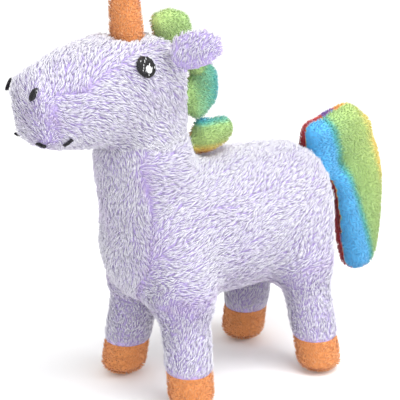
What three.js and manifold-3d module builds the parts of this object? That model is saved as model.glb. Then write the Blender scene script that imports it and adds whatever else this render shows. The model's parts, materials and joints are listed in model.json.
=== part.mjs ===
// Plush unicorn: sewn plush panels over soft stuffing, with legs, head, horn, ears, mane and tail
// that each flex at their sewn root. Millimetres, +Z up, the face looks along -Y, its left is +X.
import * as THREE from 'three';
import { LoftGeometry } from 'three/addons/geometries/LoftGeometry.js';
import { mergeVertices } from 'three/addons/utils/BufferGeometryUtils.js';
import Module from 'manifold-3d';

const wasm = await Module();
wasm.setup();

// ---------------------------------------------------------------- driving dimensions

const PLUSH = 3.0;            // thickness of a plush panel, backing and pile together
const GAP = 0.3;              // clearance between pieces that touch
const RUN = 0.45;             // clearance round a piece that flexes
const CRUMB = 5;              // cubic millimetres

const BODY_TOP = 127;         // height of the back over the floor
const BODY_BOTTOM = 47;       // height of the belly over the floor
const BODY_HALF_WIDTH = 34;
const CHEST_Y = -67;          // front of the chest
const RUMP_Y = 67;            // back of the rump

const NECK_Y = -48;           // middle of the neck at its seam
const NECK_Z = 140;           // height of the seam between neck and head
const NECK_HALF_WIDTH = 26;
const NECK_BALL = 23.5;       // ball of the neck, round which the head nods
const NOD_DOWN = 10;          // degrees
const NOD_UP = 5;

const HEAD_TOP = 196.5;       // height of the forehead over the floor
const HEAD_DEEP = 56;         // forehead to jaw
const HEAD_HALF_WIDTH = 27;
const HEAD_BACK_Y = -26;
const MUZZLE_Y = -117;
const MUZZLE_HALF_WIDTH = 19;
const MUZZLE_DEEP = 45;

const EYE = { y: -60.5, z: 183, half: 5.2 };
const NOSTRIL = { x: 11.5, z: 175.5, halfWide: 0.9, halfHigh: 2.9 };
const MOUTH = { frontX: 11, frontLong: 2.6, cornerY: -99.5, cornerLong: 4.4, wide: 1.3, rise: 7.5 };

const HORN_Y = -55;
const HORN_RADIUS = 9.4;
const HORN_HEIGHT = 56;
const HORN_TILT = 4;          // degrees, forwards
const HORN_LEAN = 8;

const HIP_Z = 58;
const HIP_BALL = 15.4;
const LEG_RADIUS = 14.6;
const LEG_SWING = 12;         // degrees, each way
const HOOF_HEIGHT = 20;
const HOOF_RADIUS = 14.6;
// A soft toy stands with its feet a little uneven: each foot is [across, along] from the middle.
const FRONT_LEG = { hipX: 20.5, hipY: -37, footLeft: [30, -38], footRight: [28.2, -44] };
const HIND_LEG = { hipX: 22, hipY: 41, footLeft: [34.5, 45], footRight: [25, 36] };

const EAR_LENGTH = 27;
const EAR_WIDTH = 23;
const EAR_THICK = 6.5;
const EAR_FLOP = 12;

const LOBE_THICK = 15;
const LOBE_FLOP = 10;

const TAIL_THICK = 20;
const TAIL_BROAD = 33;
const TAIL_WAG = 15;
const TAIL_ROOT = new THREE.Vector3(0, 61, 106);

const CHEST_GUSSET_HALF = 21.5;
const BELLY_GUSSET_HALF = 7.5;
const HEAD_GUSSET_HALF = 19;

const THREAD = 1.1;           // how far embroidery stands over the plush

const ROUND = 20;             // sides of a body or head section
const ROUND_SMALL = 14;       // sides of a leg, horn or tail section
const ROUND_TINY = 8;         // sides of an ear, a mane lobe or the inside of a leg or the tail
const ROUND_INSIDE = 12;      // sides of a hidden inner surface

const X = new THREE.Vector3(1, 0, 0);
const Y = new THREE.Vector3(0, 1, 0);
const Z = new THREE.Vector3(0, 0, 1);
const at = (x, y, z) => new THREE.Vector3(x, y, z);
const rad = THREE.MathUtils.degToRad;
const spread = (distance, degrees) => Math.max(0, distance) * Math.tan(rad(degrees));

// ---------------------------------------------------------------- solids

function toSolid(geometry) {
  const bare = new THREE.BufferGeometry();
  bare.setAttribute('position', geometry.attributes.position);
  bare.setIndex(geometry.index);
  const merged = mergeVertices(bare, 1e-4);
  const index = Array.from(merged.index.array);
  const triangles = [];
  for (let i = 0; i < index.length; i += 3) {
    const [a, b, c] = index.slice(i, i + 3);
    if (a !== b && b !== c && c !== a) triangles.push(a, b, c);
  }
  return new wasm.Manifold(new wasm.Mesh({
    numProp: 3,
    vertProperties: Float32Array.from(merged.attributes.position.array),
    triVerts: Uint32Array.from(triangles),
  }));
}

// A cut can leave crumbs at its edges; a piece is what is bigger than a crumb.
function withoutCrumbs(body) {
  const solids = body.decompose();
  const least = Math.min(CRUMB, Math.max(...solids.map((one) => one.volume())) / 2);
  return solids.filter((one) => one.volume() > least).reduce((all, one) => all.add(one));
}

function toMesh(name, body, material) {
  const data = withoutCrumbs(body).getMesh();
  const geometry = new THREE.BufferGeometry();
  const points = new Float32Array(data.numVert * 3);
  for (let i = 0; i < data.numVert; i += 1) {
    for (let k = 0; k < 3; k += 1) points[3 * i + k] = data.vertProperties[data.numProp * i + k];
  }
  geometry.setAttribute('position', new THREE.BufferAttribute(points, 3));
  geometry.setIndex(Array.from(data.triVerts));
  geometry.computeVertexNormals();
  const mesh = new THREE.Mesh(geometry, material.clone());
  mesh.name = name;
  return mesh;
}

function oval(centre, across, along, halfAcross, halfAlong, sides, square) {
  const points = [];
  for (let i = 0; i < sides; i += 1) {
    const angle = (i / sides) * 2 * Math.PI;
    const c = Math.cos(angle);
    const s = Math.sin(angle);
    const a = Math.sign(c) * Math.abs(c) ** (2 / square) * halfAcross;
    const b = Math.sign(s) * Math.abs(s) ** (2 / square) * halfAlong;
    points.push(centre.clone().addScaledVector(across, a).addScaledVector(along, b));
  }
  return points;
}

// A stuffed form: oval sections along a smooth spine, with domed ends. Each station is
// [centre, half width, half depth]; grow moves the whole surface out, or in where negative.
function stuffed(stations, options) {
  const { grow = 0, sides = ROUND, steps = 10, capStart = 0, capEnd = 0 } = options;
  const { square = 2, across = X, level = false, blunt = 2.2, capRings = 4 } = options;
  const spine = new THREE.CatmullRomCurve3(stations.map((s) => s[0]));
  const sizes = new THREE.CatmullRomCurve3(stations.map((s) => at(s[1], s[2], 0)));
  const ringAt = (t, shift, scale) => {
    const size = sizes.getPoint(t);
    const tangent = level ? Z.clone().negate() : spine.getTangent(t);
    const side = across.clone().addScaledVector(tangent, -across.dot(tangent)).normalize();
    const deep = tangent.clone().cross(side);
    const centre = spine.getPoint(t).addScaledVector(tangent, shift);
    return oval(centre, side, deep, (size.x + grow) * scale, (size.y + grow) * scale, sides, square);
  };
  const domed = (c) => (1 - c ** blunt) ** (1 / blunt);
  const rings = [];
  for (let i = 0; capStart > 0 && i < capRings; i += 1) {
    const c = Math.cos((i + 0.45) / (capRings + 0.45) * Math.PI / 2) ** 0.8;
    rings.push(ringAt(0, -(capStart + grow) * c, domed(c)));
  }
  for (let i = 0; i <= steps; i += 1) rings.push(ringAt(i / steps, 0, 1));
  for (let i = capRings - 1; capEnd > 0 && i >= 0; i -= 1) {
    const c = Math.cos((i + 0.45) / (capRings + 0.45) * Math.PI / 2) ** 0.8;
    rings.push(ringAt(1, (capEnd + grow) * c, domed(c)));
  }
  return toSolid(new LoftGeometry(rings, { capStart: true, capEnd: true }));
}

function ball(centre, radius, sides = ROUND_SMALL) {
  const geometry = new THREE.SphereGeometry(radius, sides, Math.round(sides * 0.6));
  geometry.rotateX(Math.PI / 2);
  geometry.translate(centre.x, centre.y, centre.z);
  return toSolid(geometry);
}

function block(low, high) {
  const size = high.clone().sub(low);
  const geometry = new THREE.BoxGeometry(size.x, size.y, size.z);
  geometry.translate(...low.clone().add(high).multiplyScalar(0.5).toArray());
  return toSolid(geometry);
}

// A ball's seat that opens into a cone, so what stands on the ball can lean. The cone leaves
// the ball openFrom degrees past its equator, spreads by lean degrees and is reach long. The
// flat sides of the ball and of its seat never meet, because the seat is drawn round it.
function seat(centre, direction, radius, openFrom, lean, reach, sides = ROUND_SMALL) {
  const rings = 5;
  const drawn = radius / (Math.cos(Math.PI / sides) * Math.cos(rad(90 + openFrom) / rings / 2));
  const profile = [];
  for (let i = 0; i <= rings; i += 1) {
    const angle = rad(-90 + (90 + openFrom) * i / rings);
    profile.push(new THREE.Vector2(Math.max(0, drawn * Math.cos(angle)), drawn * Math.sin(angle)));
  }
  const edge = profile[rings];
  const rim = new THREE.Vector2(edge.x + reach * Math.sin(rad(lean)), edge.y + reach * Math.cos(rad(lean)));
  profile.push(rim);
  if (lean > 90) profile.push(new THREE.Vector2(rim.x, reach));
  profile.push(new THREE.Vector2(0, lean > 90 ? reach : rim.y));
  const geometry = new THREE.LatheGeometry(profile, sides);
  geometry.applyQuaternion(new THREE.Quaternion().setFromUnitVectors(Y, direction.clone().normalize()));
  geometry.translate(centre.x, centre.y, centre.z);
  return toSolid(geometry);
}

function extruded(points, depth, matrix) {
  const geometry = new THREE.ExtrudeGeometry(new THREE.Shape(points), { depth, bevelEnabled: false });
  geometry.applyMatrix4(matrix);
  return toSolid(geometry);
}

// A solid with copies of it turned about a hinge, to each limit.
function swung(body, centre, axis, degrees) {
  const turned = [-degrees, degrees].map((angle) => {
    const turn = new THREE.Matrix4().makeRotationAxis(axis, rad(angle));
    const back = new THREE.Matrix4().makeTranslation(...centre.clone().negate().toArray());
    const matrix = new THREE.Matrix4().makeTranslation(...centre.toArray()).multiply(turn).multiply(back);
    return body.transform(matrix.elements);
  });
  return turned.reduce((all, one) => all.add(one), body);
}

const leftHalf = block(at(GAP / 2, -400, -50), at(400, 400, 400));
const rightHalf = block(at(-400, -400, -50), at(-GAP / 2, 400, 400));

// ---------------------------------------------------------------- materials

const plush = (color) => new THREE.MeshStandardMaterial({ color, roughness: 0.95, metalness: 0 });
const lavender = plush(0xb7a5d6);
const lavenderLight = plush(0xc6b8e0);
const tan = plush(0xd08a45);
const green = plush(0x8fd14f);
const blue = plush(0x3aa0dc);
const red = plush(0xc8322e);
const fibre = plush(0xf2f0ea);
const blackThread = new THREE.MeshStandardMaterial({ color: 0x141414, roughness: 0.45, metalness: 0 });
const whiteThread = new THREE.MeshStandardMaterial({ color: 0xf4f4f4, roughness: 0.45, metalness: 0 });

// ---------------------------------------------------------------- body

const bodyMid = (BODY_TOP + BODY_BOTTOM) / 2;
const bodyDeep = (BODY_TOP - BODY_BOTTOM) / 2;
const neckSeat = at(0, NECK_Y, NECK_Z);

const UPRIGHT = { capRings: 2, level: true };

function bodyForm(grow, sides = ROUND) {
  const chestCap = 28;
  const rumpCap = 24;
  const barrel = stuffed([
    [at(0, RUMP_Y - rumpCap, bodyMid - 1), BODY_HALF_WIDTH - 1, bodyDeep - 2],
    [at(0, 12, bodyMid), BODY_HALF_WIDTH, bodyDeep],
    [at(0, -16, bodyMid + 1), BODY_HALF_WIDTH, bodyDeep],
    [at(0, CHEST_Y + chestCap, bodyMid + 4), BODY_HALF_WIDTH - 1, bodyDeep + 1],
  ], { grow, sides, capStart: rumpCap, capEnd: chestCap, square: 2.2, blunt: 2.5, steps: 5, capRings: 3 });
  const neck = stuffed([
    [at(0, NECK_Y + 9, bodyMid + 4), NECK_HALF_WIDTH + 5, NECK_HALF_WIDTH + 2],
    [at(0, NECK_Y + 3, (bodyMid + NECK_Z) / 2 + 6), NECK_HALF_WIDTH + 2, NECK_HALF_WIDTH + 1],
    [at(0, NECK_Y, NECK_Z), NECK_HALF_WIDTH + 1, NECK_HALF_WIDTH],
  ], { grow, sides, capStart: 10, capEnd: 4, steps: 3, capRings: 2 });
  let form = barrel.add(neck);
  for (const leg of [FRONT_LEG, HIND_LEG]) {
    for (const side of [1, -1]) {
      form = form.add(stuffed([
        [at(side * (leg.hipX - 3), leg.hipY, HIP_Z + 32), 17, 21],
        [at(side * (leg.hipX - 1), leg.hipY, HIP_Z + 8), 18.6, 20],
        [at(side * (leg.hipX + 0.6), leg.hipY, HIP_Z - 8), 18, 18.6],
      ], { grow, sides: Math.min(sides, ROUND_SMALL), steps: 2, capStart: 8, capEnd: 4, ...UPRIGHT }));
    }
  }
  return form;
}

function legAxis(leg, side) {
  const hip = at(side * leg.hipX, leg.hipY, HIP_Z);
  const [across, along] = side > 0 ? leg.footLeft : leg.footRight;
  const foot = at(side * across, along, 0);
  return { hip, foot, down: foot.clone().sub(hip).normalize() };
}

const legs = [];
for (const [place, leg] of [['front', FRONT_LEG], ['hind', HIND_LEG]]) {
  for (const [word, side] of [['left', 1], ['right', -1]]) {
    legs.push({ name: `${place}_${word}`, side, ...legAxis(leg, side) });
  }
}

function hipSeats(clearance) {
  const reach = Math.max(HIP_BALL, LEG_RADIUS + 2 * GAP) + clearance;
  const seats = legs.map((leg) => seat(leg.hip, leg.down, reach, 12, LEG_SWING + 2, 50));
  return seats.reduce((all, one) => all.add(one));
}

// ---------------------------------------------------------------- head

const headMid = HEAD_TOP - HEAD_DEEP / 2;
const muzzleMid = HEAD_TOP - 9 - MUZZLE_DEEP / 2;
const mouthZ = (headMid - HEAD_DEEP / 2 + muzzleMid - MUZZLE_DEEP / 2) / 2 + MOUTH.rise;
const headBackCap = 17;
const headFrontCap = 16;
const HEAD_SIDES = { square: 2.25, blunt: 2.4 };

function headForm(grow, sides = ROUND) {
  const skull = stuffed([
    [at(0, HEAD_BACK_Y - headBackCap, headMid + 2), HEAD_HALF_WIDTH - 3, HEAD_DEEP / 2 - 4],
    [at(0, -64, headMid), HEAD_HALF_WIDTH, HEAD_DEEP / 2],
    [at(0, -88, headMid - 2), (HEAD_HALF_WIDTH + MUZZLE_HALF_WIDTH) / 2, (HEAD_DEEP + MUZZLE_DEEP) / 4 + 1],
    [at(0, MUZZLE_Y + headFrontCap, muzzleMid), MUZZLE_HALF_WIDTH, MUZZLE_DEEP / 2],
  ], { grow, sides, capStart: headBackCap, capEnd: headFrontCap, steps: 6, capRings: 3, ...HEAD_SIDES });
  const throat = stuffed([
    [at(0, NECK_Y, NECK_Z + 3), NECK_HALF_WIDTH - 2, NECK_HALF_WIDTH - 2],
    [at(0, NECK_Y, NECK_Z + 18), NECK_HALF_WIDTH - 2, NECK_HALF_WIDTH - 1],
    [at(0, NECK_Y, headMid), NECK_HALF_WIDTH - 4, NECK_HALF_WIDTH - 3],
  ], { grow, sides, steps: 3, capStart: 0.01, capRings: 0, capEnd: 0 });
  return skull.add(throat);
}

const headWhole = (grow, sides = ROUND) => headForm(grow, sides).add(ball(neckSeat, NECK_BALL + grow, sides));

// ---------------------------------------------------------------- horn

const hornBase = at(0, HORN_Y, HEAD_TOP - 6);
const hornAxis = at(0, -Math.sin(rad(HORN_TILT)), Math.cos(rad(HORN_TILT)));

function hornForm(grow) {
  const along = (distance) => hornBase.clone().addScaledVector(hornAxis, distance);
  const cone = stuffed([
    [along(0), HORN_RADIUS, HORN_RADIUS],
    [along(HORN_HEIGHT * 0.35), HORN_RADIUS * 0.9, HORN_RADIUS * 0.9],
    [along(HORN_HEIGHT * 0.7), HORN_RADIUS * 0.66, HORN_RADIUS * 0.66],
    [along(HORN_HEIGHT * 0.95), HORN_RADIUS * 0.4, HORN_RADIUS * 0.4],
  ], { grow, sides: ROUND_SMALL, steps: 4, capStart: HORN_RADIUS - 0.5, capEnd: 3, blunt: 2, capRings: 2 });
  return cone;
}

// ---------------------------------------------------------------- ears

const ears = [
  { name: 'left', root: at(22.5, -43, HEAD_TOP - 10), point: at(25, 16, 8), up: at(-0.25, 0.2, 1) },
  { name: 'right', root: at(-19, -43, HEAD_TOP - 6), point: at(-15, 18, 21), up: at(0.7, -0.1, 0.75) },
];
for (const ear of ears) {
  ear.out = ear.point.clone().normalize();
  ear.face = ear.out.clone().cross(ear.up).normalize();
  ear.wide = ear.face.clone().cross(ear.out).normalize();
}

function earForm(ear, grow, flop = 0) {
  const along = (distance) => ear.root.clone().addScaledVector(ear.out, distance);
  const half = EAR_WIDTH / 2;
  const thin = EAR_THICK / 2;
  return stuffed([
    [along(0), half * 0.74, thin],
    [along(EAR_LENGTH * 0.3), half * 0.98, thin + spread(EAR_LENGTH * 0.3, flop)],
    [along(EAR_LENGTH * 0.62), half * 0.92, thin + spread(EAR_LENGTH * 0.62, flop)],
    [along(EAR_LENGTH * 0.86), half * 0.6, thin * 0.8 + spread(EAR_LENGTH * 0.86, flop)],
  ], { grow, sides: ROUND_TINY, steps: 4, capStart: thin, capEnd: EAR_LENGTH * 0.14, across: ear.wide,
    blunt: 2, capRings: 2 });
}

// ---------------------------------------------------------------- mane

// Each lobe grows from a root on the crest, its hinge along the crest; point is where it ends.
const lobes = [
  { name: 'forelock', owner: 'head', root: at(0, -36, HEAD_TOP - 4), reach: at(0, 14, -0.5), half: 8.5 },
  { name: 'crown', owner: 'head', root: at(0, -27, HEAD_TOP - 20.6), reach: at(0, 19, 1), half: 6.6 },
  { name: 'nape', owner: 'head', root: at(0, -26, HEAD_TOP - 39), reach: at(0, 20, -0.5), half: 10.8 },
  { name: 'withers', owner: 'body', root: at(0, -16, BODY_TOP + 4.5), reach: at(0, 20, 4), half: 9.5 },
];
for (const lobe of lobes) {
  lobe.out = lobe.reach.clone().normalize();
  lobe.crest = X.clone().cross(lobe.out).normalize();
}

function lobeForm(lobe, grow, flop = 0) {
  const length = lobe.reach.length();
  const along = (distance) => lobe.root.clone().addScaledVector(lobe.out, distance);
  const thick = LOBE_THICK / 2;
  return stuffed([
    [along(0), thick * 0.75, lobe.half * 0.8],
    [along(length * 0.5), thick + spread(length * 0.5, flop), lobe.half],
    [along(length), thick * 0.85 + spread(length, flop), lobe.half * 0.85],
  ], { grow, sides: ROUND_TINY, steps: 3, capStart: thick * 0.75, capEnd: 6, blunt: 2, capRings: 2 });
}

// ---------------------------------------------------------------- tail

function tailForm(grow, sides = ROUND_SMALL, wag = 0) {
  const broad = TAIL_BROAD / 2;
  const thick = TAIL_THICK / 2;
  const station = (back, up, thin, wide) => [
    at(0, TAIL_ROOT.y + back, TAIL_ROOT.z + up), thick * thin + spread(back, wag), broad * wide,
  ];
  return stuffed([
    station(0, 0, 0.9, 0.62),
    station(11, 12, 0.95, 0.86),
    station(26, 14, 1, 0.88),
    station(38, -6, 1, 0.94),
    station(40, -33, 1, 0.95),
    station(41, -60, 0.85, 0.76),
  ], { grow, sides, steps: 9, capStart: thick * 0.9, capEnd: 12, capRings: 2 });
}

// ---------------------------------------------------------------- panels

// Front-view outline of the chest gusset, a long V, driven back from the chest.
function chestWedge(grow) {
  const half = CHEST_GUSSET_HALF + grow;
  const low = BODY_BOTTOM + 6 - grow * 2;
  const outline = [
    [-half * 0.9, NECK_Z + 30], [-half, 100], [-half, 80], [-half * 0.6, 66], [-3, low],
    [3, low], [half * 0.6, 66], [half, 80], [half, 100], [half * 0.9, NECK_Z + 30],
  ].map(([x, z]) => new THREE.Vector2(x, z));
  const matrix = new THREE.Matrix4().makeRotationX(Math.PI / 2);
  matrix.setPosition(0, NECK_Y + 8 + grow, 0);
  return extruded(outline, 60, matrix);
}

// Plan outline of the belly gusset, a long leaf between the legs.
function bellyLeaf(grow) {
  const half = BELLY_GUSSET_HALF + grow;
  const front = FRONT_LEG.hipY - 16 - grow;
  const back = HIND_LEG.hipY + 18 + grow;
  const outline = [
    [0, front], [half * 0.75, front + 12], [half, front + 24], [half, back - 24], [half * 0.7, back - 10],
    [0, back], [-half * 0.7, back - 10], [-half, back - 24], [-half, front + 24], [-half * 0.75, front + 12],
  ].map(([x, y]) => new THREE.Vector2(x, y));
  return extruded(outline, BODY_BOTTOM + 16 + grow, new THREE.Matrix4().makeTranslation(0, 0, 0));
}

// The head gusset runs from the crown over the forehead and down the front of the muzzle.
function gussetStrip(grow) {
  const half = HEAD_GUSSET_HALF + grow;
  const nose = MUZZLE_Y - 20;
  const right = [
    [half * 0.5, HEAD_BACK_Y + 6], [half * 0.5, HORN_Y + 14], [half * 0.82, HORN_Y - 3],
    [half, HORN_Y - 19], [half * 0.98, HORN_Y - 35], [half * 0.85, nose],
  ].map(([x, y]) => new THREE.Vector2(x, y));
  const left = right.map((point) => new THREE.Vector2(-point.x, point.y)).reverse();
  const outline = [...right.reverse(), ...left.reverse()];
  const low = HEAD_TOP - MUZZLE_DEEP / 2 - grow;
  const top = extruded(outline, 60, new THREE.Matrix4().makeTranslation(0, 0, low));
  const chin = HEAD_TOP - MUZZLE_DEEP - 6 - grow;
  const front = block(at(-half * 0.78, nose, chin), at(half * 0.78, MUZZLE_Y + 12 + grow, low + 60));
  return top.add(front);
}

// ---------------------------------------------------------------- assembly

const unicorn = new THREE.Group();
unicorn.name = 'plush_unicorn';
const add = (name, body, material) => {
  unicorn.add(toMesh(name, body, material));
};

const bodyLobe = lobes.find((lobe) => lobe.owner === 'body');
const tailRoom = swung(tailForm(RUN), TAIL_ROOT, Z, TAIL_WAG).add(tailForm(RUN, ROUND_SMALL, TAIL_WAG));
const neckRoom = seat(neckSeat, Z, NECK_BALL + RUN, -(NOD_DOWN + 3), 90 + NOD_DOWN + 3, 26, ROUND);
const lobeRoom = (lobe) => swung(lobeForm(lobe, RUN), lobe.root, lobe.crest, LOBE_FLOP)
  .add(lobeForm(lobe, 2 * RUN, LOBE_FLOP));
const bodyRoom = hipSeats(RUN).add(neckRoom).add(tailRoom).add(lobeRoom(bodyLobe));

const bodySkin = bodyForm(0).subtract(bodyForm(-PLUSH, ROUND_INSIDE)).subtract(bodyRoom);
const bodyCore = bodyForm(-PLUSH - GAP, ROUND_INSIDE).subtract(bodyRoom);
const seams = chestWedge(GAP).add(bellyLeaf(GAP));
add('torso_stuffing', bodyCore, fibre);
add('body_side_left', bodySkin.intersect(leftHalf).subtract(seams), lavender);
add('body_side_right', bodySkin.intersect(rightHalf).subtract(seams), lavender);
add('chest_gusset', bodySkin.intersect(chestWedge(0)), lavender);
add('belly_gusset', bodySkin.intersect(bellyLeaf(0)).subtract(chestWedge(GAP)), lavender);

function legForm(leg, grow, sides = ROUND_SMALL) {
  const along = (distance) => leg.hip.clone().lerp(leg.foot, distance);
  const shaft = stuffed([
    [along(0.05), LEG_RADIUS - 1, LEG_RADIUS - 1],
    [along(0.3), LEG_RADIUS, LEG_RADIUS],
    [along(0.6), LEG_RADIUS - 0.3, LEG_RADIUS - 0.3],
    [along(0.88), HOOF_RADIUS, HOOF_RADIUS],
  ], { grow, sides, steps: 4, capEnd: leg.hip.z * 0.12, level: true, capRings: 2, blunt: 2.4 });
  return shaft.add(ball(leg.hip, HIP_BALL + grow, sides));
}

for (const leg of legs) {
  const skin = legForm(leg, 0).subtract(legForm(leg, -PLUSH, ROUND_TINY));
  const mouth = HIP_BALL * 0.58;
  const opening = block(
    leg.hip.clone().add(at(-mouth, -mouth, HIP_BALL - 2 * PLUSH)),
    leg.hip.clone().add(at(mouth, mouth, HIP_BALL + PLUSH)),
  );
  const aboveHoof = block(at(-100, -100, HOOF_HEIGHT + GAP), at(100, 100, 100));
  const belowHoof = block(at(-100, -100, -10), at(100, 100, HOOF_HEIGHT));
  add(`leg_stuffing_${leg.name}`, legForm(leg, -PLUSH - GAP, ROUND_TINY), fibre);
  add(`leg_sleeve_${leg.name}`, skin.intersect(aboveHoof).subtract(opening), lavender);
  add(`hoof_cap_${leg.name}`, skin.intersect(belowHoof), tan);
}

let headRoom = seat(hornBase, hornAxis, HORN_RADIUS + RUN, 0, HORN_LEAN + 1, 40);
for (const ear of ears) headRoom = headRoom.add(earForm(ear, RUN, EAR_FLOP + 1));
for (const lobe of lobes.filter((one) => one.owner === 'head')) {
  headRoom = headRoom.add(lobeRoom(lobe));
}

const headOpening = block(at(-12, NECK_Y - 12, NECK_Z - 30), at(12, NECK_Y + 12, NECK_Z - NECK_BALL + 8));
const headInside = headWhole(-PLUSH, ROUND_INSIDE);
const headSkin = headWhole(0).subtract(headInside).subtract(headRoom).subtract(headOpening);
add('head_stuffing', headWhole(-PLUSH - GAP, ROUND_INSIDE).subtract(headRoom), fibre);
add('head_side_left', headSkin.intersect(leftHalf).subtract(gussetStrip(GAP)), lavender);
add('head_side_right', headSkin.intersect(rightHalf).subtract(gussetStrip(GAP)), lavender);
add('head_gusset', headSkin.intersect(gussetStrip(0)), lavender);

// Embroidery stands on the plush: an outline driven through the skin of the head, kept where
// it lies just proud of the surface.
function stitched(points, axis, side, low, high) {
  const [a, b, c] = axis === 'x' ? [Y, Z, X] : [X, Z, Y.clone().negate()];
  const matrix = new THREE.Matrix4().makeBasis(a, b, c);
  const depth = axis === 'x' ? 34 : 200;
  const outline = axis === 'x' || side > 0 ? points : points.map(([x, z]) => [-x, z]).reverse();
  const geometry = new THREE.ExtrudeGeometry(
    new THREE.Shape(outline.map(([x, y]) => new THREE.Vector2(x, y))), { depth, bevelEnabled: false });
  geometry.applyMatrix4(matrix);
  if (axis === 'x') geometry.translate(side > 0 ? 2 : -2 - depth, 0, 0);
  else geometry.translate(0, MUZZLE_Y / 2, 0);
  const shape = toSolid(geometry);
  return shape.intersect(headForm(high)).subtract(headForm(low));
}

const ellipse = (cx, cy, rx, ry, sides) => Array.from({ length: sides }, (_, i) => [
  cx + rx * Math.cos((2 * Math.PI * i) / sides), cy + ry * Math.sin((2 * Math.PI * i) / sides),
]);
const bar = (cx, cy, length, wide, degrees) => {
  const c = Math.cos(rad(degrees));
  const s = Math.sin(rad(degrees));
  return [[-1, -1], [1, -1], [1, 1], [-1, 1]].map(([i, j]) => [
    cx + i * length / 2 * c - j * wide / 2 * s, cy + i * length / 2 * s + j * wide / 2 * c,
  ]);
};

for (const [word, side] of [['left', 1], ['right', -1]]) {
  const eye = ellipse(EYE.y, EYE.z, EYE.half, EYE.half * 0.92, 12);
  const glint = ellipse(EYE.y + 0.4, EYE.z - 0.8, EYE.half * 0.32, EYE.half * 0.32, 8);
  add(`eye_black_${word}`, stitched(eye, 'x', side, GAP, GAP + THREAD), blackThread);
  const nostril = ellipse(NOSTRIL.x, NOSTRIL.z, NOSTRIL.halfWide, NOSTRIL.halfHigh, 8);
  const corner = bar(MOUTH.cornerY, mouthZ + 2, MOUTH.cornerLong, MOUTH.wide, 45);
  const front = bar(MOUTH.frontX, mouthZ + 1.5, MOUTH.frontLong, MOUTH.wide, -35);
  const onEye = 2 * GAP + THREAD;
  add(`eye_glint_${word}`, stitched(glint, 'x', side, onEye, onEye + 0.6 * THREAD), whiteThread);
  add(`nostril_${word}`, stitched(nostril, 'y', side, GAP, GAP + THREAD), blackThread);
  add(`mouth_corner_${word}`, stitched(corner, 'x', side, GAP, GAP + THREAD), blackThread);
  add(`mouth_front_${word}`, stitched(front, 'y', side, GAP, GAP + THREAD), blackThread);
}

const hornSkin = hornForm(0).subtract(hornForm(-PLUSH + 0.5));
const mouthHalf = HORN_RADIUS / 2;
const hornMouth = block(
  hornBase.clone().add(at(-mouthHalf, -mouthHalf, -2 * HORN_RADIUS)),
  hornBase.clone().add(at(mouthHalf, mouthHalf, -HORN_RADIUS + PLUSH + 1)),
);
add('horn_cover', hornSkin.subtract(hornMouth), tan);
add('horn_stuffing', hornForm(-PLUSH + 0.5 - GAP), fibre);

for (const ear of ears) {
  const form = earForm(ear, 0);
  const halves = [[1, 'inner'], [-1, 'outer']];
  for (const [sign, word] of halves) {
    const offset = ear.root.dot(ear.face) * sign + GAP / 2;
    const facing = ear.face.clone().multiplyScalar(sign).toArray();
    add(`ear_${word}_${ear.name}`, form.trimByPlane(facing, offset), lavenderLight);
  }
}

const lobeColours = { forelock: green, crown: green, nape: blue, withers: green };
for (const lobe of lobes) {
  const skin = lobeForm(lobe, 0).subtract(lobeForm(lobe, -PLUSH + 0.5));
  add(`mane_${lobe.name}_left`, skin.intersect(leftHalf), lobeColours[lobe.name]);
  add(`mane_${lobe.name}_right`, skin.intersect(rightHalf), lobeColours[lobe.name]);
  add(`mane_${lobe.name}_stuffing`, lobeForm(lobe, -PLUSH + 0.5 - GAP), fibre);
}

const tailSkin = tailForm(0).subtract(tailForm(-PLUSH, ROUND_TINY));
add('tail_left', tailSkin.intersect(leftHalf), green);
add('tail_right', tailSkin.intersect(rightHalf), red);
add('tail_stuffing', tailForm(-PLUSH - 3 * GAP, ROUND_TINY), fibre);

// The origin is on the floor, under the middle of the whole toy.
const extent = new THREE.Box3().setFromObject(unicorn, true);
const middle = extent.getCenter(new THREE.Vector3());
unicorn.position.set(-middle.x, -middle.y, -extent.min.z);

export default unicorn;
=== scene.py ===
import json

import bmesh
import bpy
import numpy as np
from mathutils import Matrix, Vector, kdtree, noise
from mathutils.bvhtree import BVHTree

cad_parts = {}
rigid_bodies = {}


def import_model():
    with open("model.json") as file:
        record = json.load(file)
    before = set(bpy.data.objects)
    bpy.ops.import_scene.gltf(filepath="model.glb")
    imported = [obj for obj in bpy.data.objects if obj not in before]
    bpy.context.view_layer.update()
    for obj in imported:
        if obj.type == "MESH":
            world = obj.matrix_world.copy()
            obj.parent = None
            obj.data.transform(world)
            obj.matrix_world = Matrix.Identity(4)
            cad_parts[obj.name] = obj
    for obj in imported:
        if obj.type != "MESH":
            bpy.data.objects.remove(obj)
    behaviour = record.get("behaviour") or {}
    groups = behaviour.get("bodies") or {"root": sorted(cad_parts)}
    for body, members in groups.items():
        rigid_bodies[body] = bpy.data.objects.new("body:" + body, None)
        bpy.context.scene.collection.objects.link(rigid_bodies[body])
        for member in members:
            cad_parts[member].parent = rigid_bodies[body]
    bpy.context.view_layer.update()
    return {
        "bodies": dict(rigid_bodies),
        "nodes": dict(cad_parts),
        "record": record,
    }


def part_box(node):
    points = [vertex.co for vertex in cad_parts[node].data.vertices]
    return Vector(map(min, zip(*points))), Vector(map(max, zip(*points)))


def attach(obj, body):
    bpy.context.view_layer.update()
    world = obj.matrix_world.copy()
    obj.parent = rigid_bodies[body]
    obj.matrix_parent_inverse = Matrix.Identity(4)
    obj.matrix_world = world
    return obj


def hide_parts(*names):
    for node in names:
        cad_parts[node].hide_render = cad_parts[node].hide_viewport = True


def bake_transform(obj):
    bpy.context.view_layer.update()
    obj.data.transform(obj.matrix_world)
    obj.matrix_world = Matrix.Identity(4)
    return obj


# Plush unicorn: sewn plush panels with a short brushed pile over soft stuffing, embroidered eyes,
# nostrils and mouth, a tan horn and hooves, and a striped mane and tail. Metres, +Z up, face to -Y.

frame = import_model()
nodes = frame["nodes"]

MM = 0.001
SEED = 20
MERGE = 0.01 * MM
MAP = "OFBake"

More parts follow.
